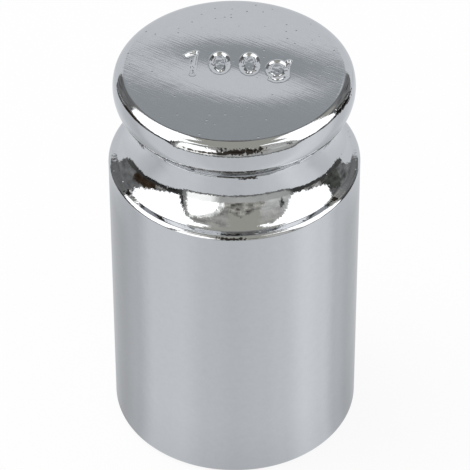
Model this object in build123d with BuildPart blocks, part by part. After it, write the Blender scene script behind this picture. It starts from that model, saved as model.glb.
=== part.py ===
"""Calibration weight, 100 g class: a knob weight turned from one steel bar and plated.

The weight is a solid of revolution about Z. It stands on its flat base at z = 0, and every
height below is stacked on the one before it, so a changed size moves what stands above it.
"""

import math
import os

from build123d import *

# Body: the plain cylinder that holds most of the mass
body_diameter = 21.6
body_height = 27.68  # up to the sharp corner where the shoulder starts
base_edge_radius = 0.5

# Shoulder: a narrow ledge round the edge, then a wide cove that sweeps up into the neck
ledge_width = 0.75
ledge_slope = 10.0  # degrees by which the ledge rises inwards
shoulder_edge_radius = 0.4
cove_radius = 4.1
cove_foot_radius = 0.5

# Neck: the groove under the head, where a fork or tweezers lift the weight
neck_depth = 2.5  # turned in from the side of the body
neck_height = 1.62  # of its straight wall, up to the sharp corner under the head
neck_top_radius = 2.05

# Head: a flat knob with a barrel-shaped side, a little narrower than the body
head_step = 0.55  # how far the head stands back from the side of the body
head_thickness = 3.0  # of its side, between sharp corners
head_crown = 0.4  # how far the side bulges beyond those corners
head_underside_angle = 38.0  # of the underside above the horizontal
head_rim_radius = 0.9
head_lower_edge_radius = 0.7

body_radius = body_diameter / 2
neck_radius = body_radius - neck_depth
head_radius = body_radius - head_step
head_corner_radius = head_radius - head_crown

cove_foot_z = body_height + ledge_width * math.tan(math.radians(ledge_slope))
cove_reach = cove_radius + ledge_width - neck_depth  # of its centre, beyond the ledge's inner edge
cove_top = cove_foot_z + math.sqrt(cove_radius**2 - cove_reach**2)
neck_top = cove_top + neck_height
head_bottom = neck_top + (head_corner_radius - neck_radius) * math.tan(
    math.radians(head_underside_angle)
)
overall_height = head_bottom + head_thickness

# Sharp corners of the half profile, as (radius, height)
base_corner = (body_radius, 0)
shoulder_corner = (body_radius, body_height)
cove_foot_corner = (body_radius - ledge_width, cove_foot_z)
cove_end = (neck_radius, cove_top)
neck_top_corner = (neck_radius, neck_top)
head_lower_corner = (head_corner_radius, head_bottom)
head_side = (head_radius, head_bottom + head_thickness / 2)
head_rim_corner = (head_corner_radius, overall_height)

rounded_corners = (
    (base_corner, base_edge_radius),
    (shoulder_corner, shoulder_edge_radius),
    (cove_foot_corner, cove_foot_radius),
    (neck_top_corner, neck_top_radius),
    (head_lower_corner, head_lower_edge_radius),
    (head_rim_corner, head_rim_radius),
)

with BuildPart() as weight:
    with BuildSketch(Plane.XZ) as half_profile:
        with BuildLine():
            Polyline((0, 0), base_corner, shoulder_corner, cove_foot_corner)
            TangentArc(cove_end, cove_foot_corner, tangent=(0, -1))
            Polyline(cove_end, neck_top_corner, head_lower_corner)
            ThreePointArc(head_lower_corner, head_side, head_rim_corner)
            Polyline(head_rim_corner, (0, overall_height), (0, 0))
        make_face()
        for corner, radius in rounded_corners:
            fillet(half_profile.vertices().sort_by_distance(corner)[0], radius)
    revolve(axis=Axis.Z)

weight.part.label = "weight"

os.makedirs("parts", exist_ok=True)
export_step(weight.part, "parts/weight.step")
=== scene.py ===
import math

import bmesh
import bpy
import numpy as np
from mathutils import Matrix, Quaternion, Vector, noise


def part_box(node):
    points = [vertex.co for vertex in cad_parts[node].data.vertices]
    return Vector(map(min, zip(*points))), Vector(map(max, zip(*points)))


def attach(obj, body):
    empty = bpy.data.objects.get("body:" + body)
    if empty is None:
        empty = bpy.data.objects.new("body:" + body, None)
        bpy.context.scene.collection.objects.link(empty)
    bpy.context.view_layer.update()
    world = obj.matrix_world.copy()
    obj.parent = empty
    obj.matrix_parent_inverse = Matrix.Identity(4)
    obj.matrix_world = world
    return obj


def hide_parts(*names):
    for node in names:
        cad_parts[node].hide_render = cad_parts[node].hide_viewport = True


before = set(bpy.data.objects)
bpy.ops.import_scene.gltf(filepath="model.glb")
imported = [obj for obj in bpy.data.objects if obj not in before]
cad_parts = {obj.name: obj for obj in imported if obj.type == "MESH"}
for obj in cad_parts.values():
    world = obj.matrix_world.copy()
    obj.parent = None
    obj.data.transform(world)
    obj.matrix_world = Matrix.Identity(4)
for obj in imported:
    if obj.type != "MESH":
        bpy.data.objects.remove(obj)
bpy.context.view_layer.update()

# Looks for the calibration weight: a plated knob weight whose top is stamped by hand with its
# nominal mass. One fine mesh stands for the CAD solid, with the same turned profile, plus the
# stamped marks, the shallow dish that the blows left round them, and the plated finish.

MM = 0.001

# ---------------------------------------------------------------- turned profile, millimetres
weight_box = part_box("weight")
BODY_RADIUS = weight_box[1][0] / MM
BODY_HEIGHT = 27.68  # up to the sharp corner where the shoulder starts
BASE_EDGE_RADIUS = 0.5

LEDGE_WIDTH = 0.75
LEDGE_SLOPE = math.radians(10)  # by which the ledge rises inwards
SHOULDER_EDGE_RADIUS = 0.4
COVE_RADIUS = 4.1
COVE_FOOT_RADIUS = 0.5

NECK_DEPTH = 2.5  # turned in from the side of the body
NECK_RADIUS = BODY_RADIUS - NECK_DEPTH
NECK_HEIGHT = 1.62
NECK_TOP_RADIUS = 2.05

HEAD_STEP = 0.55  # how far the head stands back from the side of the body
HEAD_RADIUS = BODY_RADIUS - HEAD_STEP
HEAD_CROWN = 0.4  # how far its side bulges
HEAD_THICKNESS = 3.0
HEAD_UNDERSIDE_ANGLE = math.radians(38)  # above the horizontal
HEAD_RIM_RADIUS = 0.9
HEAD_LOWER_EDGE_RADIUS = 0.7
HEAD_CORNER_RADIUS = HEAD_RADIUS - HEAD_CROWN

COVE_FOOT = Vector((BODY_RADIUS - LEDGE_WIDTH, BODY_HEIGHT + LEDGE_WIDTH * math.tan(LEDGE_SLOPE)))
COVE_TOP = COVE_FOOT.y + math.sqrt(COVE_RADIUS**2 - (NECK_RADIUS + COVE_RADIUS - COVE_FOOT.x) ** 2)
COVE_CENTRE = Vector((NECK_RADIUS + COVE_RADIUS, COVE_TOP))
NECK_TOP = COVE_TOP + NECK_HEIGHT
UNDERSIDE_RISE = (HEAD_CORNER_RADIUS - NECK_RADIUS) * math.tan(HEAD_UNDERSIDE_ANGLE)
HEAD_BOTTOM = NECK_TOP + UNDERSIDE_RISE
TOP = HEAD_BOTTOM + HEAD_THICKNESS
BARREL_RADIUS = ((HEAD_THICKNESS / 2) ** 2 + HEAD_CROWN**2) / (2 * HEAD_CROWN)
BARREL_CENTRE = Vector((HEAD_RADIUS - BARREL_RADIUS, HEAD_BOTTOM + HEAD_THICKNESS / 2))

# ---------------------------------------------------------------- mesh fineness
SIDE_STEPS = 90  # of the top's grid, on each side; four times as many go round the weight
ARC_STEP = math.radians(4)  # of each rounded corner
SUPPORT = 0.02  # from each rounded corner to an extra ring that holds its shading
STAMP_CUTS = 6  # extra cuts of each grid edge near the stamped marks
STAMP_REACH = 0.62  # how near to a stroke's middle those cuts start
SAME_HEIGHT = 1e-4  # within which a vertex lies in the plane of the top


def normal(angle):
    """The unit vector (outwards, up) at an angle above the horizontal."""
    return Vector((math.cos(angle), math.sin(angle)))


def arc(centre, radius, start, end, hollow=False):
    """Points of a rounded corner, named by the direction that the surface faces."""
    steps = max(2, round(abs(end - start) / ARC_STEP))
    side = -radius if hollow else radius
    return [centre + side * normal(start + (end - start) * i / steps) for i in range(steps + 1)]


def rounded(corner, radius, start, end, hollow=False):
    """A rounded corner between two straight lines that face start and end."""
    n0, n1 = normal(start), normal(end)
    offset = (n0 + n1) * (radius / (1 + n0.dot(n1)))
    centre = Vector(corner) + (offset if hollow else -offset)
    return arc(centre, radius, start, end, hollow)


def corner_in_circle(centre, circle_radius, line_point, inward, radius):
    """The two possible centres of a rounded corner between a line and the inside of a circle.

    The corner's centre lies on the side of the line that inward points to. The outermost
    centre comes last.
    """
    along = Vector((-inward.y, inward.x))
    depth = radius - (centre - Vector(line_point)).dot(inward)
    reach = math.sqrt((circle_radius - radius) ** 2 - depth**2)
    sides = [centre + inward * depth + along * reach * s for s in (1, -1)]
    return sorted(sides, key=lambda c: c.x)


def turn_of(direction):
    """The angle of a direction above the horizontal."""
    return math.atan2(direction.y, direction.x)


def half_profile():
    """The side of the weight as (radius, height), from the base's edge to the top's edge."""
    down, up = math.radians(-90), math.radians(90)
    ledge = up - LEDGE_SLOPE
    under = HEAD_UNDERSIDE_ANGLE - up
    cove = (COVE_CENTRE, COVE_RADIUS)
    barrel = (BARREL_CENTRE, BARREL_RADIUS)
    foot = corner_in_circle(*cove, COVE_FOOT, normal(ledge), COVE_FOOT_RADIUS)[0]
    underside = ((NECK_RADIUS, NECK_TOP), -normal(under))
    lower = corner_in_circle(*barrel, *underside, HEAD_LOWER_EDGE_RADIUS)[1]
    rim = corner_in_circle(*barrel, (0, TOP), -normal(up), HEAD_RIM_RADIUS)[1]
    foot_turn = turn_of(COVE_CENTRE - foot)
    lower_turn = turn_of(lower - BARREL_CENTRE)
    rim_turn = turn_of(rim - BARREL_CENTRE)
    corners = [
        rounded((BODY_RADIUS, 0), BASE_EDGE_RADIUS, down, 0),
        rounded((BODY_RADIUS, BODY_HEIGHT), SHOULDER_EDGE_RADIUS, 0, ledge),
        arc(foot, COVE_FOOT_RADIUS, ledge, foot_turn, hollow=True)[:-1]
        + arc(*cove, foot_turn, 0, hollow=True),
        rounded((NECK_RADIUS, NECK_TOP), NECK_TOP_RADIUS, 0, under, hollow=True),
        arc(lower, HEAD_LOWER_EDGE_RADIUS, under, lower_turn)[:-1]
        + arc(*barrel, lower_turn, rim_turn)[:-1]
        + arc(rim, HEAD_RIM_RADIUS, rim_turn, up),
    ]
    points = []
    for corner in corners:
        if points:
            gap = corner[0] - points[-1]
            step = gap.normalized() * SUPPORT
            points += [points[-1] + step, corner[0] - step]
        points += corner
    return points


# ---------------------------------------------------------------- stamped marks, millimetres
STROKE_DEPTH = 0.16  # at its full share
STROKE_HALF_WIDTH = 0.16
LIP_HEIGHT = 0.003  # of the metal raised beside a stroke
LIP_WIDTH = 0.06
LIP_PLACE = 0.26  # from the stroke's middle


def oval(centre, across, height, start=0, end=360, steps=40):
    """Points on an oval, or on a part of it, anticlockwise from its right side."""
    turns = [math.radians(start + (end - start) * i / steps) for i in range(steps + 1)]
    return [
        (centre[0] + across / 2 * math.cos(t), centre[1] + height / 2 * math.sin(t)) for t in turns
    ]


# The middle lines of the strokes, through points (to the right, to the back) on the top
STROKES = [
    [(-4.0, 1.95), (-3.7, 2.2), (-3.25, 2.4)],
    [(-3.25, 2.4), (-3.4, 0.9), (-3.5, -0.45)],
    oval((-1.2, 1.02), 1.3, 2.45),
    oval((1.3, 0.87), 1.3, 2.5),
    oval((3.62, 0.12), 1.45, 2.0),
    [(4.62, 1.1), (4.45, 0.6)] + oval((3.65, -0.6), 1.5, 1.5, 0, -140, 16),
]
# The raised middles of the round marks, as (centre, (width, height))
COUNTERS = [((-1.2, 1.02), (0.9, 1.9)), ((1.3, 0.87), (0.9, 1.95)), ((3.62, 0.12), (1.0, 1.4))]
COUNTER_RISE = 0.012

# The marks are deeper at their far side. Their share of the full depth is the same along a level
# line, which runs across the top and falls to the right of a bend.
LEVEL_SHARE = 0.6  # on the level line
LEVEL_LINE_Y = 0.9
LEVEL_BEND_X = 1.5
LEVEL_FALL = 0.25  # millimetres per millimetre
SHARE_PER_MM = 0.36  # beyond the level line
SHARE_LIMITS = (0.2, 1.1)
FIRST_MARK_END_X = -2.6  # the mark left of this is pressed in more evenly
FIRST_MARK_SHARE = 0.55

ROUGH_HEIGHT = 0.011  # of the pitted metal in the marks
ROUGH_SCALE = 3.1
STROKE_ROUGHNESS = 2.2  # times that height, in the strokes
STROKE_ROUGH_HALF_WIDTH = 0.2
COUNTER_ROUGHNESS = 0.45  # times that height, in the raised middles

DISH_CENTRE = (0.6, 0.1)
DISH_FALL = 0.2  # of its long axis, to the right
DISH_RADII = (5.8, 2.7)
DISH_DEPTH = 0.046


def stroke_distance(x, y):
    """The distance of each point from the nearest stroke's middle line."""
    nearest = np.full(x.shape, 1e9)
    for stroke in STROKES:
        for (x0, y0), (x1, y1) in zip(stroke, stroke[1:]):
            dx, dy = x1 - x0, y1 - y0
            along = np.clip(((x - x0) * dx + (y - y0) * dy) / (dx * dx + dy * dy), 0, 1)
            nearest = np.minimum(nearest, np.hypot(x - x0 - along * dx, y - y0 - along * dy))
    return nearest


def top_relief(x, y):
    """How far the top stands above or below its plane at each point."""
    distance = stroke_distance(x, y)
    beyond = y - LEVEL_LINE_Y + LEVEL_FALL * np.maximum(x - LEVEL_BEND_X, 0)
    depth_share = np.clip(LEVEL_SHARE + SHARE_PER_MM * beyond, *SHARE_LIMITS)
    at_least = np.maximum(depth_share, FIRST_MARK_SHARE)
    depth_share = np.where(x < FIRST_MARK_END_X, at_least, depth_share)
    relief = -STROKE_DEPTH * depth_share * np.exp(-((distance / STROKE_HALF_WIDTH) ** 4))
    roughness = STROKE_ROUGHNESS * np.exp(-((distance / STROKE_ROUGH_HALF_WIDTH) ** 4))
    for (cx, cy), (width, height) in COUNTERS:
        inside = np.exp(-(np.hypot((x - cx) / width * 2, (y - cy) / height * 2) ** 4))
        relief += COUNTER_RISE * inside
        roughness += COUNTER_ROUGHNESS * inside
    grain = np.array([noise.noise(Vector((a, b, 0)) * ROUGH_SCALE) for a, b in zip(x, y)])
    relief += ROUGH_HEIGHT * grain * roughness
    relief += LIP_HEIGHT * np.exp(-(((distance - LIP_PLACE) / LIP_WIDTH) ** 2))
    across = (x - DISH_CENTRE[0]) / DISH_RADII[0]
    along = (y - DISH_CENTRE[1] + DISH_FALL * (x - DISH_CENTRE[0])) / DISH_RADII[1]
    return relief - DISH_DEPTH * np.exp(-(across**2) - along**2)


def make_top(bm, radius):
    """A square grid pressed into the round top, evenly spaced along the rim.

    Returns its faces and its edge's vertices, anticlockwise from the front right.
    """
    n = SIDE_STEPS
    turns = np.radians(np.linspace(-45, 45, n + 1))
    across, along = np.meshgrid(turns, turns, indexing="ij")
    x = math.sqrt(2) * np.sin(across) * np.cos(along)
    y = math.sqrt(2) * np.cos(across) * np.sin(along)
    grid = [
        [bm.verts.new((x[i, j] * radius * MM, y[i, j] * radius * MM, TOP * MM)) for j in range(n + 1)]
        for i in range(n + 1)
    ]
    faces = [
        bm.faces.new((grid[i][j], grid[i + 1][j], grid[i + 1][j + 1], grid[i][j + 1]))
        for i in range(n)
        for j in range(n)
    ]
    edge = [grid[n][j] for j in range(n)]
    edge += [grid[n - i][n] for i in range(n)]
    edge += [grid[0][n - j] for j in range(n)]
    edge += [grid[i][0] for i in range(n)]
    return faces, edge


def make_side(bm, rings, top_edge):
    """The turned side, from a flat base up to the edge of the top."""
    around = len(top_edge)
    turns = [math.radians(-45 + 360 * i / around) for i in range(around)]
    below = None
    for point in rings[:-1]:
        ring = [
            bm.verts.new((point.x * math.cos(t) * MM, point.x * math.sin(t) * MM, point.y * MM))
            for t in turns
        ]
        if below is None:
            bm.faces.new(list(reversed(ring)))
        else:
            join_rings(bm, below, ring)
        below = ring
    join_rings(bm, below, top_edge)


def join_rings(bm, lower, upper):
    """A band of faces between two rings with as many vertices."""
    around = len(lower)
    for i in range(around):
        j = (i + 1) % around
        bm.faces.new((lower[i], lower[j], upper[j], upper[i]))


def press_marks(bm, top_faces):
    """Cut the top finely near the marks, then give it its relief."""
    centres = np.array([f.calc_center_median()[:2] for f in top_faces]) / MM
    near = stroke_distance(centres[:, 0], centres[:, 1]) < STAMP_REACH
    fine = {e for f, close in zip(top_faces, near) if close for e in f.edges}
    bmesh.ops.subdivide_edges(bm, edges=list(fine), cuts=STAMP_CUTS, use_grid_fill=True)
    bm.verts.ensure_lookup_table()
    top = [v for v in bm.verts if abs(v.co.z - TOP * MM) < SAME_HEIGHT * MM]
    places = np.array([v.co[:2] for v in top]) / MM
    for v, rise in zip(top, top_relief(places[:, 0], places[:, 1])):
        v.co.z += rise * MM


def make_weight():
    """The whole surface of the weight as one closed mesh."""
    rings = half_profile()
    bm = bmesh.new()
    top_faces, top_edge = make_top(bm, rings[-1].x)
    make_side(bm, rings, top_edge)
    press_marks(bm, top_faces)
    for f in bm.faces:
        f.smooth = True
    bmesh.ops.recalc_face_normals(bm, faces=bm.faces)
    mesh = bpy.data.meshes.new("plated_weight")
    bm.to_mesh(mesh)
    bm.free()
    made = bpy.data.objects.new("plated_weight", mesh)
    bpy.context.scene.collection.objects.link(made)
    return made


# ---------------------------------------------------------------- node trees
class Nodes:
    """Short calls to build a node tree. A value is a number, a colour or another node's output."""

    def __init__(self, tree):
        self.tree = tree
        tree.nodes.clear()

    def add(self, kind, *inputs, sockets=None, **settings):
        """A node with its first inputs set in order, and others by the socket's name or number."""
        node = self.tree.nodes.new(kind)
        for key, value in settings.items():
            setattr(node, key, value)
        pairs = [*zip(node.inputs, inputs)]
        pairs += [(node.inputs[key], value) for key, value in (sockets or {}).items()]
        for socket, value in pairs:
            if isinstance(value, bpy.types.NodeSocket):
                self.tree.links.new(value, socket)
            elif value is not None:
                socket.default_value = value
        return node

    def math(self, operation, *inputs):
        return self.add("ShaderNodeMath", *inputs, operation=operation).outputs[0]

    def noise(self, place, scale, detail, **more):
        sockets = {"Scale": scale, "Detail": detail, **more}
        return self.add("ShaderNodeTexNoise", place, sockets=sockets).outputs["Fac"]

    def ramp(self, value, start, end, low=0.0, high=1.0):
        """A number that goes from low to high while value goes from start to end."""
        return self.add("ShaderNodeMapRange", value, start, end, low, high).outputs[0]

    def mix_colours(self, share, first, second):
        """A mix of two colours, which go into the mix node's sockets 6 and 7."""
        sockets = {6: first, 7: second}
        return self.add("ShaderNodeMix", share, data_type="RGBA", sockets=sockets).outputs[2]

    def mix_shaders(self, share, first, second):
        return self.add("ShaderNodeMixShader", share, first, second).outputs[0]


def new_material(name):
    """A material and the means to build its empty node tree."""
    material = bpy.data.materials.new(name)
    material.use_nodes = True
    return material, Nodes(material.node_tree)


# ---------------------------------------------------------------- plating
PLATING_DARKER = (0.555, 0.566, 0.581, 1)
PLATING_PALER = (0.605, 0.614, 0.629, 1)
PLATING_ROUGHNESS = 0.04
# Colour of the painted dark reflections: dark patches on the plating that stand for dark things it would
# mirror
PAINTED_REFLECTION_COLOUR = (0.06, 0.053, 0.048, 1)
RIM_CLEARANCE = 0.3  # millimetres below the top where the top's own unevenness ends

# Heights of the plating's unevenness, millimetres
WAVE_HEIGHT = 0.02
PEEL_HEIGHT = 0.006
LINE_HEIGHT = 0.0012
SWIRL_HEIGHT = 0.004
PIT_DEPTH = 0.006

BUFFING_TURN = math.radians(33)  # of the lines on the top, falling to the right
BUFFING_STRETCH = (0.35, 7.0, 1)  # of their pattern, along and across
PIT_FLOOR, PIT_EDGE = 0.04, 0.14  # radii, in cells of the pits' pattern
PITTED_SHARE = 0.5  # cells that hold a pit

# Painted dark reflections: dark patches put on the plating where the metal would mirror dark things.
# For each, the azimuth and height of the middle, in degrees from the front to the right and in
# millimetres, and half of the width and height.
PAINTED_DARK_REFLECTIONS = [
    (3.0, 36.46, 14.0, 0.3),
    (-13.0, 36.28, 14.0, 0.11),
    (-1.5, 27.56, 7.0, 0.13),
    (-2.0, 27.75, 7.0, 0.02),
    (-61.0, 27.77, 2.6, 0.06),
    (55.0, 27.77, 2.6, 0.06),
    (8.0, 32.15, 7.0, 0.22),
    (-4.0, 32.35, 10.0, 0.1),
    (-22.0, 34.16, 46.0, 0.22),
    (66.0, 36.55, 10.0, 0.2),
]
TEAR_STRENGTH = 2.6  # of the grain that tears their edges
TEAR_LEVEL = -1.42  # about half of that, so that the grain adds as much as it takes
PAINTED_REFLECTION_EDGE = (0.12, 0.3)  # of the torn cover, where a painted dark reflection starts and where it is full


def painted_reflection_cover(t, place, parts):
    """How far each spot is covered by a painted dark reflection, 0 to 1, with torn edges."""
    grain = t.noise(place, 4.0, 3.0)
    turn = t.math("ARCTAN2", parts.outputs[0], t.math("MULTIPLY", parts.outputs[1], -1))
    cover = 0.0
    for azimuth, height, half_width, half_height in PAINTED_DARK_REFLECTIONS:
        across = t.math("ABSOLUTE", t.math("SUBTRACT", turn, math.radians(azimuth)))
        across = t.math("DIVIDE", across, math.radians(half_width))
        along = t.math("ABSOLUTE", t.math("SUBTRACT", parts.outputs[2], height))
        along = t.math("DIVIDE", along, half_height)
        cover = t.math("MAXIMUM", cover, t.math("SUBTRACT", 1.0, t.math("MAXIMUM", across, along)))
    torn = t.math("MULTIPLY_ADD", grain, TEAR_STRENGTH, TEAR_LEVEL)
    covered = t.ramp(t.math("ADD", cover, torn), *PAINTED_REFLECTION_EDGE)
    near = t.math("GREATER_THAN", cover, 0.0)
    return t.math("MULTIPLY", covered, near)


def plating_height(t, place, parts):
    """The unevenness of the plating, in millimetres."""
    on_top = t.math("GREATER_THAN", parts.outputs[2], TOP - RIM_CLEARANCE)
    on_side = t.math("SUBTRACT", 1.0, on_top)
    grained = t.add("ShaderNodeMapping", place, None, (0, 0, BUFFING_TURN)).outputs[0]
    grained = t.add("ShaderNodeVectorMath", grained, BUFFING_STRETCH, operation="MULTIPLY").outputs[0]
    cells = t.add("ShaderNodeTexVoronoi", place, sockets={"Scale": 1.5})
    pit = t.math("SUBTRACT", t.ramp(cells.outputs["Distance"], PIT_FLOOR, PIT_EDGE), 1.0)
    draw = t.add("ShaderNodeSeparateXYZ", cells.outputs["Color"]).outputs[0]
    pitted = t.math("GREATER_THAN", draw, 1 - PITTED_SHARE)
    total = 0.0
    for pattern, amplitude, share in (
        (t.noise(place, 0.5, 1.0), WAVE_HEIGHT, on_side),
        (t.noise(place, 3.2, 3.0), PEEL_HEIGHT, on_side),
        (t.noise(grained, 1.0, 3.0), LINE_HEIGHT, on_top),
        (t.noise(place, 0.3, 2.0), SWIRL_HEIGHT, on_top),
        (pit, PIT_DEPTH, pitted),
    ):
        total = t.math("ADD", total, t.math("MULTIPLY", t.math("MULTIPLY", pattern, amplitude), share))
    return total


def plated_material():
    """Bright plating over slightly wavy steel, with buffing lines on the top, small pits, and dark
    reflections painted at fixed places.
    """
    material, t = new_material("bright_plating")
    place = t.add("ShaderNodeTexCoord").outputs["Object"]
    to_mm = (1 / MM, 1 / MM, 1 / MM)
    place = t.add("ShaderNodeVectorMath", place, to_mm, operation="MULTIPLY").outputs[0]
    parts = t.add("ShaderNodeSeparateXYZ", place)
    clouds = t.noise(place, 1.6, 6.0, Roughness=0.7)
    clean = t.mix_colours(clouds, PLATING_DARKER, PLATING_PALER)
    # Painted dark reflections laid over the plating's own colour
    colour = t.mix_colours(painted_reflection_cover(t, place, parts), clean, PAINTED_REFLECTION_COLOUR)
    height = plating_height(t, place, parts)
    bump = t.add("ShaderNodeBump", sockets={"Strength": 1.0, "Distance": MM, "Height": height})
    shader = t.add("ShaderNodeBsdfPrincipled", colour, sockets={
        "Metallic": 1, "Roughness": PLATING_ROUGHNESS, "Normal": bump.outputs[0],
    })
    t.add("ShaderNodeOutputMaterial", shader.outputs[0])
    return material


# ---------------------------------------------------------------- camera
CAMERA_ELEVATION = math.radians(41.43)
CAMERA_DISTANCE = 297.3 * MM
CAMERA_TARGET = Vector((0.03, 0, 18.572)) * MM
CAMERA_FOCAL = 3399.6  # in pixels of the frame
FRAME_WIDTH = 470
CAMERA_ROLL = math.radians(-0.17)


def add_camera():
    """The camera in front of the weight, looking down at it."""
    camera = bpy.data.cameras.new("camera")
    camera.lens = camera.sensor_width * CAMERA_FOCAL / FRAME_WIDTH
    camera.clip_start = 0.01
    placed = bpy.data.objects.new("camera", camera)
    back = Vector((0, -math.cos(CAMERA_ELEVATION), math.sin(CAMERA_ELEVATION)))
    placed.location = CAMERA_TARGET + back * CAMERA_DISTANCE
    placed.rotation_mode = "QUATERNION"
    level = (-back).to_track_quat("-Z", "Y")
    placed.rotation_quaternion = level @ Quaternion((0, 0, 1), CAMERA_ROLL)
    bpy.context.scene.collection.objects.link(placed)
    bpy.context.scene.camera = placed


# ---------------------------------------------------------------- mirrored room
# The metal mirrors a small photo studio: a pale backdrop behind, tall windows on both sides that
# lean back overhead, walls and clutter beside and below them, and the edge of a stand in front.
# Each card is given by its edges as (azimuth, elevation) in degrees, seen from the weight's neck.
# Azimuth 0 is towards the camera and grows to the right. A card nearer the weight hides those
# behind it.
CARD_CENTRE = Vector((0, 0, 33 * MM))
CARD_ROWS = 16
CARD_STEP = 1.0  # degrees between columns
CARD_TEAR = 1.2  # degrees by which the edges of a mottled card are torn
BLOTCH_SCALE = 14.0
FAINTEST_BLOTCH = 0.05  # of the card's brightness
RAGGED = np.random.default_rng(11)  # for those torn edges

WINDOW = (2.0, 2.0, 2.0)
BACKDROP = (0.82, 0.835, 0.862)
ABOVE_BACKDROP = (0.4, 0.425, 0.445)
CEILING = (0.47, 0.465, 0.415)
SHADE = (0.2, 0.2, 0.2)
PALE_WALL = (0.78, 0.785, 0.775)
DIM_WALL = (0.48, 0.475, 0.44)
GREY_WALL = (0.34, 0.34, 0.325)
BROWN = (0.045, 0.031, 0.021)
CLUTTER = (0.2, 0.195, 0.185)
GREEN_GREY = (0.085, 0.088, 0.078)
DARK = (0.03, 0.03, 0.031)
SEAM = (0.15, 0.15, 0.145)
STAND_EDGE = (0.37, 0.36, 0.33)

CARDS = {
    # name: (distance, colour below, colour above, mottling, lower edge, upper edge)
    "left_shade": (0.62, SHADE, SHADE, 0.6, [(-184, -10), (-98, -10)], [(-184, 52), (-98, 40)]),
    "right_shade": (0.62, SHADE, SHADE, 0.9, [(96, -10), (184, -10)], [(96, 40), (184, 52)]),
    "backdrop": (
        0.6, BACKDROP, BACKDROP, 0.0,
        [(122, -10), (230, -10)],
        [(122, -8), (125, 0), (131, 10), (138, 18), (150, 30), (160, 36), (170, 38.4), (180, 39),
         (193, 38.4), (200, 36), (210, 30), (219, 20), (226, 10), (230, -6)],
    ),
    "above_backdrop": (
        0.605, ABOVE_BACKDROP, ABOVE_BACKDROP, 0.1,
        [(164, 10), (196, 10)],
        [(164, 38), (170, 41), (180, 42.5), (190, 41), (196, 38)],
    ),
    "left_window": (
        0.59, WINDOW, WINDOW, 0.1,
        [(-172, 50), (-150, 50), (-140, 47), (-130, 45), (-120, 40), (-112, 33), (-106, 25),
         (-100, 18), (-93, 14), (-86, 11), (-78, 8), (-70, 4), (-57, 0), (-54, 14), (-52, 40),
         (-45, 52), (-31, 55)],
        [(-172, 53), (-165, 62), (-150, 71), (-130, 74), (-110, 74), (-100, 72), (-90, 69.5),
         (-80, 66), (-70, 63), (-62, 61), (-54, 60), (-45, 59), (-31, 57)],
    ),
    "left_lobe": (
        0.59, WINDOW, WINDOW, 0.25,
        [(-48, -11), (-40, -11), (-15, -8)],
        [(-48, 30), (-45, 37), (-38, 37), (-28, 31), (-20, 23), (-15, 8)],
    ),
    "lobe_fringe": (
        0.595, (1.1, 1.1, 1.07), (1.0, 1.0, 0.96), 0.9,
        [(-49, -11), (-10, -8)],
        [(-49, 38), (-46, 42), (-40, 41), (-26, 36), (-16, 28), (-10, 10)],
    ),
    "right_window": (
        0.59, WINDOW, WINDOW, 0.1,
        [(30, 56), (44, 51), (52, 38), (57, 2), (70, 2), (84, 7), (90, 9), (97, 12), (99, 16), (102, 22),
         (105, 32), (109, 40), (115, 45), (122, 50), (135, 54), (150, 54), (160, 53), (168, 51)],
        [(30, 58), (44, 60), (57, 60), (64, 60), (70, 60), (76, 62), (85, 68), (95, 71),
         (110, 73.5), (130, 73), (140, 71), (150, 68), (160, 62), (168, 53)],
    ),
    "left_brown": (0.6, BROWN, BROWN, 0.8, [(-112, -10), (-84, -10)], [(-112, 14), (-84, 16)]),
    "left_clutter": (0.6, CLUTTER, CLUTTER, 2.2, [(-84, -12), (-54, -12)], [(-84, 16), (-54, 4)]),
    "right_dark": (0.599, DARK, DARK, 0.8, [(57, -12), (71, -12)], [(57, 0), (71, 2)]),
    "right_clutter": (0.6, CLUTTER, CLUTTER, 2.2, [(57, -12), (98, -12)], [(57, 10), (98, 14)]),
    "right_green": (0.6, GREEN_GREY, GREEN_GREY, 0.8, [(93, -10), (117, -10)], [(93, 16), (117, 32)]),
    "right_wall": (0.6, PALE_WALL, DIM_WALL, 0.3, [(26, -10), (58, -10)], [(26, 50), (58, 50)]),
    "left_wall": (0.61, GREY_WALL, DIM_WALL, 0.5, [(-62, -10), (-6, -10)], [(-62, 60), (-6, 60)]),
    "left_seam": (0.588, DARK, DARK, 1.5, [(-55, -4), (-52, -4)], [(-55, 14), (-52, 36)]),
    "right_seam": (0.588, SEAM, SEAM, 1.5, [(46.5, -4), (49.5, -4)], [(46.5, 27), (49.5, 20)]),
    "stand_edge": (
        0.595, STAND_EDGE, STAND_EDGE, 1.2,
        [(-10, -4), (30, -4)],
        [(-10, 6), (-6, 20), (0, 32), (6, 36), (12, 30), (20, 24), (26, 16), (30, 4)],
    ),
}


def direction(azimuth, elevation):
    """The unit vector towards a place given in degrees."""
    a, e = math.radians(azimuth), math.radians(elevation)
    return Vector((math.sin(a) * math.cos(e), -math.cos(a) * math.cos(e), math.sin(e)))


def card_material(name, mottling):
    """Light of the card's own colours, blotchy by a share of its brightness.

    The noise averages a half, so that the card is as bright as without it.
    """
    material, t = new_material(name)
    colour = t.add("ShaderNodeAttribute", attribute_name="colour").outputs["Color"]
    blotches = t.noise(t.add("ShaderNodeTexCoord").outputs["Object"], BLOTCH_SCALE, 5.0)
    spread = t.math("MULTIPLY_ADD", blotches, 4 * mottling, 1 - 2 * mottling)
    glow = t.add("ShaderNodeEmission", colour, t.math("MAXIMUM", spread, FAINTEST_BLOTCH))
    t.add("ShaderNodeOutputMaterial", glow.outputs[0])
    return material


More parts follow.
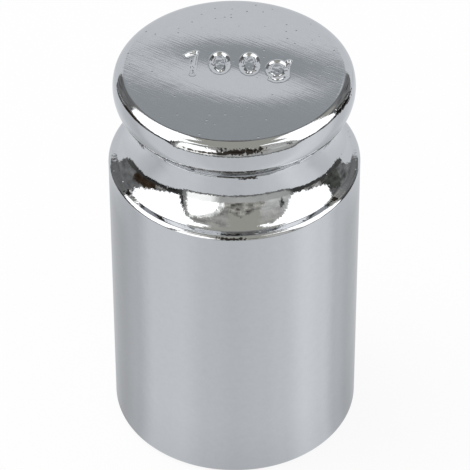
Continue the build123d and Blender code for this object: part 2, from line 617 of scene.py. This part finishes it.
def add_glowing(name, verts, faces, colours, material):
    """A sheet of light, with a colour at each corner, that shows only in reflections."""
    mesh = bpy.data.meshes.new(name)
    mesh.from_pydata(verts, [], faces)
    mesh.attributes.new("colour", "FLOAT_COLOR", "POINT").data.foreach_set("color", colours)
    mesh.materials.append(material)
    placed = bpy.data.objects.new(name, mesh)
    bpy.context.scene.collection.objects.link(placed)
    placed.visible_camera = False
    placed.visible_diffuse = False
    placed.visible_shadow = False
    placed.visible_transmission = False
    placed.visible_volume_scatter = False


def add_card(name, distance, colour_below, colour_above, mottling, lower, upper):
    """A card between its lower and upper edge, at one distance from the weight's neck."""
    start, end = lower[0][0], lower[-1][0]
    columns = round((end - start) / CARD_STEP) + 1
    azimuths = np.linspace(start, end, columns)
    lows = np.interp(azimuths, *zip(*lower))
    highs = np.interp(azimuths, *zip(*upper))
    if mottling:
        lows += RAGGED.normal(0, CARD_TEAR, columns)
        highs += RAGGED.normal(0, CARD_TEAR, columns)
    verts, faces, colours = [], [], []
    for azimuth, low, high in zip(azimuths, lows, highs):
        for share in np.linspace(0, 1, CARD_ROWS):
            verts.append(CARD_CENTRE + direction(azimuth, low + (high - low) * share) * distance)
            colours += [b + (a - b) * share for b, a in zip(colour_below, colour_above)] + [1]
    for i in range(columns - 1):
        for k in range(CARD_ROWS - 1):
            a = i * CARD_ROWS + k
            faces.append((a, a + 1, a + CARD_ROWS + 1, a + CARD_ROWS))
    add_glowing(name, verts, faces, colours, card_material(name, mottling))


# Past the edge of the sheet the metal shows a dark strip and then the room up to the horizon, by
# azimuth: how far the edge is in metres, the elevation where the strip ends, and both tones.
SHEET_EDGE_STEP = 1.0  # degrees
STRIP_TEAR = 0.5  # degrees by which the end of the strip is torn
SHEET_EDGE = [
    (-128, 0.3), (-122, 0.2), (-100, 0.35), (-60, 0.17), (-50, 0.11), (0, 0.105), (50, 0.11),
    (60, 0.17), (100, 0.35), (122, 0.2), (128, 0.3),
]
STRIP_TOP = [
    (-128, 0), (-100, -2), (-56, -6), (-53, -14), (-16, -14), (-8, -13.5), (26, -13.5), (50, -13),
    (58, -5), (100, -2), (128, 0),
]
STRIP = [
    (-128, 0.1), (-105, 0.05), (-95, 0.02), (-60, 0.03), (-50, 0.15), (-14, 0.2), (40, 0.22),
    (56, 0.15), (60, 0.05), (100, 0.07), (128, 0.1),
]
ROOM = [
    (-128, 0.1), (-100, 0.05), (-54, 0.05), (-52, 0.3), (-48.5, 0.35), (-47.5, 1.7), (-24, 1.6),
    (-14, 0.6), (25, 0.5), (30, 0.55), (56, 0.4), (60, 0.05), (100, 0.08), (128, 0.1),
]
ROOM_TINT = (1, 1, 0.97)
ROOM_MOTTLING = 0.25
WALL_FOOT = 0.1 * MM  # above the floor


def add_sheet_edge():
    """An upright wall round the front and sides: the dark strip below and the room above."""
    start, end = SHEET_EDGE[0][0], SHEET_EDGE[-1][0]
    azimuths = np.linspace(start, end, round((end - start) / SHEET_EDGE_STEP) + 1)
    radii, tops, strip, room = (
        np.interp(azimuths, *zip(*facts)) for facts in (SHEET_EDGE, STRIP_TOP, STRIP, ROOM)
    )
    tops += RAGGED.normal(0, STRIP_TEAR, len(azimuths))
    verts, faces, colours = [], [], []
    for azimuth, radius, top, low, high in zip(azimuths, radii, tops, strip, room):
        foot = direction(azimuth, 0) * radius
        middle = max(CARD_CENTRE.z + radius * math.tan(math.radians(top)), 2 * WALL_FOOT)
        for z, level in ((WALL_FOOT, low), (middle, low), (middle, high), (CARD_CENTRE.z, high)):
            verts.append((foot.x, foot.y, z))
            colours += [*(level * tint for tint in ROOM_TINT), 1]
    for i in range(0, 4 * len(azimuths) - 4, 4):
        faces += [(i, i + 4, i + 5, i + 1), (i + 2, i + 6, i + 7, i + 3)]
    add_glowing("sheet_edge", verts, faces, colours, card_material("dark_room", ROOM_MOTTLING))


# ---------------------------------------------------------------- floor and lights
# The floor is a white sheet. In the side of the weight it shows painted light and shade: these are its
# tones there, by the azimuth in which the side mirrors it, seen from the front.
PAINTED_SHEET_LIGHT = [
    (-180, 0.6), (-130, 0.52), (-105, 0.62), (-80, 0.86), (-52, 0.88), (-25, 0.77), (0, 0.73),
    (25, 0.77), (45, 0.83), (70, 1.0), (90, 0.92), (110, 0.69), (132, 0.57), (180, 0.6),
]
SHEET_TINT = (0.975, 1.0, 1.035)
SHEET_COLOUR = (0.8, 0.8, 0.8, 1)
SHEET_GLOW = 0.9  # share of the sheet's look that glows by itself, with painted light and shade for the metal and plain white for the camera; the rest keeps the shadow
FLOOR_REACH = 6  # metres
MIRROR_ROUNDS = 3  # of closing in on that azimuth

# Behind the weight and past what its side mirrors, the sheet has one tone. It sets in over these
# distances from the axis, in metres, and these angles from the front, in radians.
FAR_TONE = 0.8
FAR_RADII = (0.033, 0.041)
FAR_TURNS = (1.6, 2.1)

# Painted shade on the sheet close to the weight's foot, as if the weight took some light off it
PAINTED_FOOT_SHADE = 0.92  # that is left at the side of the weight
FOOT_REACH = 0.0165  # metres from the axis, where all of it is left

FILL_LIGHT = 0.75
LAMP_PLACE = Vector((-0.25, 0.1, 0.75))
LAMP_SIZE = 0.5
LAMP_WATTS = 3.0


def mirrored_azimuth(t, azimuth, radius):
    """About the azimuth in which the side mirrors a place on the floor, seen from the front.

    The side sends a ray from the front towards azimuth b from its own azimuth b / 2. The ray comes
    to the floor's place where b = azimuth + asin(body radius / radius * sin(b / 2)).
    """
    ratio = t.math("MINIMUM", t.math("DIVIDE", BODY_RADIUS * MM, radius), 1.0)
    mirrored = azimuth
    for _ in range(MIRROR_ROUNDS):
        lean = t.math("MULTIPLY", ratio, t.math("SINE", t.math("MULTIPLY", mirrored, 0.5)))
        mirrored = t.math("ADD", azimuth, t.math("ARCSINE", lean))
    return mirrored


def painted_sheet_light(t, azimuth, radius):
    """The sheet's painted light and shade, as the metal shows it."""
    share = t.math("MULTIPLY_ADD", mirrored_azimuth(t, azimuth, radius), 1 / (2 * math.pi), 0.5)
    tones = t.add("ShaderNodeValToRGB", share)
    ramp = tones.color_ramp
    ramp.interpolation = "EASE"
    for _ in PAINTED_SHEET_LIGHT[2:]:  # a new ramp has two already
        ramp.elements.new(0.5)
    for element, (turn, tone) in zip(ramp.elements, PAINTED_SHEET_LIGHT):
        element.position = turn / 360 + 0.5
        element.color = (*(tone * tint for tint in SHEET_TINT), 1)
    past = t.ramp(radius, *FAR_RADII)
    behind = t.ramp(t.math("ABSOLUTE", azimuth), *FAR_TURNS)
    far_colour = (*(FAR_TONE * tint for tint in SHEET_TINT), 1)
    return t.mix_colours(t.math("MULTIPLY", past, behind), tones.outputs[0], far_colour)


def sheet_material():
    """A white sheet that takes a shadow, and glows with painted light and shade for the metal and plain
    white for the camera.
    """
    material, t = new_material("floor")
    place = t.add("ShaderNodeSeparateXYZ", t.add("ShaderNodeTexCoord").outputs["Object"])
    x, y = place.outputs[0], place.outputs[1]
    azimuth = t.math("ARCTAN2", x, t.math("MULTIPLY", y, -1))
    radius = t.math("SQRT", t.math("ADD", t.math("MULTIPLY", x, x), t.math("MULTIPLY", y, y)))
    # Painted shade: the sheet's glow for the metal grows darker towards the weight's foot
    painted_foot_shade = t.ramp(radius, BODY_RADIUS * MM, FOOT_REACH, PAINTED_FOOT_SHADE, 1.0)
    # Painted light and shade: the sheet glows for the metal with tones by azimuth, darker near the foot
    painted_in_metal = t.add("ShaderNodeEmission", painted_sheet_light(t, azimuth, radius), painted_foot_shade).outputs[0]
    white = t.add("ShaderNodeEmission", (1, 1, 1, 1), 1.0).outputs[0]
    shaded = t.add("ShaderNodeBsdfDiffuse", SHEET_COLOUR).outputs[0]
    path = t.add("ShaderNodeLightPath")
    to_metal = t.math("MULTIPLY", path.outputs["Is Glossy Ray"], SHEET_GLOW)
    to_camera = t.math("MULTIPLY", path.outputs["Is Camera Ray"], SHEET_GLOW)
    look = t.mix_shaders(to_camera, t.mix_shaders(to_metal, shaded, painted_in_metal), white)
    t.add("ShaderNodeOutputMaterial", look)
    return material


def add_floor():
    """The sheet that the weight stands on."""
    reach = FLOOR_REACH
    mesh = bpy.data.meshes.new("floor")
    corners = [(-reach, -reach, 0), (reach, -reach, 0), (reach, reach, 0), (-reach, reach, 0)]
    mesh.from_pydata(corners, [], [(0, 1, 2, 3)])
    mesh.materials.append(sheet_material())
    floor = bpy.data.objects.new("floor", mesh)
    bpy.context.scene.collection.objects.link(floor)


def add_world():
    """Soft fill light, which the camera sees as white and the metal as a dimmer ceiling."""
    world = bpy.data.worlds.new("studio")
    bpy.context.scene.world = world
    world.use_nodes = True
    t = Nodes(world.node_tree)
    fill = t.add("ShaderNodeBackground", (1, 1, 1, 1), FILL_LIGHT).outputs[0]
    ceiling = t.add("ShaderNodeBackground", (*CEILING, 1), 1.0).outputs[0]
    white = t.add("ShaderNodeBackground", (1, 1, 1, 1), 1.0).outputs[0]
    path = t.add("ShaderNodeLightPath")
    others = t.mix_shaders(path.outputs["Is Glossy Ray"], fill, ceiling)
    rays = t.mix_shaders(path.outputs["Is Camera Ray"], others, white)
    t.add("ShaderNodeOutputWorld", rays)


def add_lamp():
    """A soft lamp up on the left, which the metal doesn't show."""
    lamp = bpy.data.lights.new("softbox", "AREA")
    lamp.shape = "DISK"
    lamp.size = LAMP_SIZE
    lamp.energy = LAMP_WATTS
    placed = bpy.data.objects.new("softbox", lamp)
    placed.location = LAMP_PLACE
    placed.rotation_euler = (CARD_CENTRE - LAMP_PLACE).to_track_quat("-Z", "Y").to_euler()
    placed.visible_glossy = False
    bpy.context.scene.collection.objects.link(placed)


# ---------------------------------------------------------------- scene
bpy.context.scene.view_settings.view_transform = "Standard"
add_camera()
weight = make_weight()
weight.data.materials.append(plated_material())
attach(weight, "root")
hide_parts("weight")
add_floor()
add_world()
for name, facts in CARDS.items():
    add_card(name, *facts)
add_sheet_edge()
add_lamp()
